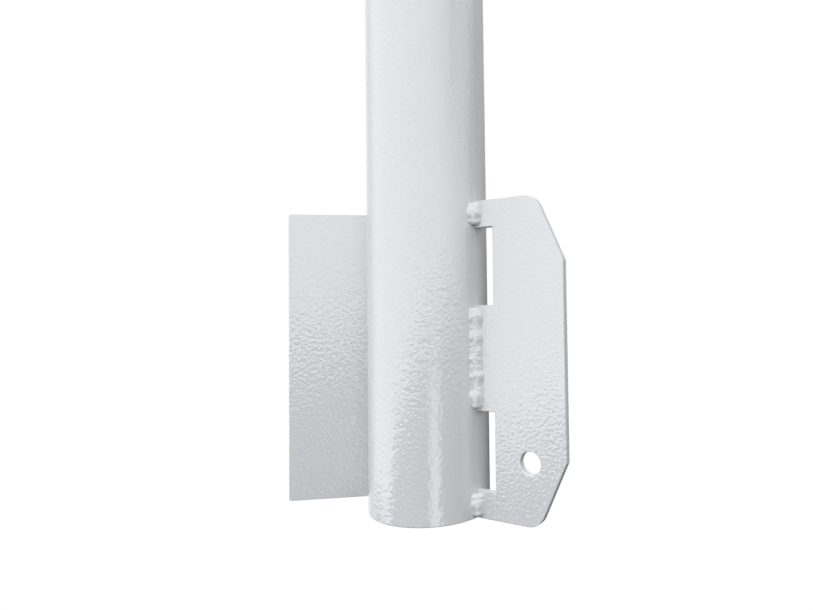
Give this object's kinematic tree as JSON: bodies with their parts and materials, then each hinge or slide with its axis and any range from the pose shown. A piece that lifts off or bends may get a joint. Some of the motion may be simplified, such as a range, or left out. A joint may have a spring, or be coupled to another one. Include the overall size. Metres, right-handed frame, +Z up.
{
  "type": "security gate",
  "caption": "Waist-high shop security gate: a round white post with a slotted lug and a side plate at its foot, and a spring-return barred leaf that swings above it.",
  "frame": {"origin": "centre of the post's open bottom end, where the floor spigot enters", "axes": "+Z up along the post and the pivot axis; +X from the post through the slotted lug and along the closed leaf"},
  "size_m": [0.8727, 0.06, 0.979],
  "materials": {
    "powder_coat": "glossy light grey-white powder coat with fine orange peel",
    "coated_weld": "lumpy weld bead under the same powder coat",
    "turned_steel": "turned and oiled",
    "zinc_plate": "bright zinc plate",
    "spring_steel": "oiled spring wire",
    "nylon": "natural machined nylon",
    "cap_plastic": "fine moulded texture"
  },
  "bodies": {
    "post": {"post_tube": "powder_coat", "lug_plate": "powder_coat", "side_plate": "powder_coat", "lug_weld_front_bottom": "coated_weld", "lug_weld_front_middle": "coated_weld", "lug_weld_front_top": "coated_weld", "lug_weld_rear_bottom": "coated_weld", "lug_weld_rear_middle": "coated_weld", "lug_weld_rear_top": "coated_weld", "side_weld_front": "coated_weld", "side_weld_rear": "coated_weld", "lower_spacer_ring": "turned_steel", "upper_spacer_ring": "turned_steel", "pivot_core": "turned_steel", "core_plug": "turned_steel", "thrust_washer": "nylon", "stop_collar": "turned_steel", "return_spring": "spring_steel", "retaining_washer": "zinc_plate", "retaining_bolt": "zinc_plate"},
    "leaf": {"column_tube": "powder_coat", "lower_bush": "nylon", "upper_bush": "nylon", "stop_screw": "zinc_plate", "spring_driver": "turned_steel", "column_cap": "cap_plastic", "leaf_hoop": "powder_coat", "leaf_bar_1": "powder_coat", "leaf_bar_2": "powder_coat", "leaf_bar_3": "powder_coat", "leaf_bar_4": "powder_coat", "leaf_bar_5": "powder_coat", "rail_weld_lower": "coated_weld", "rail_weld_upper": "coated_weld"}
  },
  "joints": [
    {"name": "leaf_swing", "type": "hinge", "parent": "post", "child": "leaf", "pos_m": [0, 0, 0.363], "axis": [0, 0, 1], "range_deg": [0, 90], "stiffness_Nm_per_rad": 1.4, "springref_deg": -20.05}
  ]
}
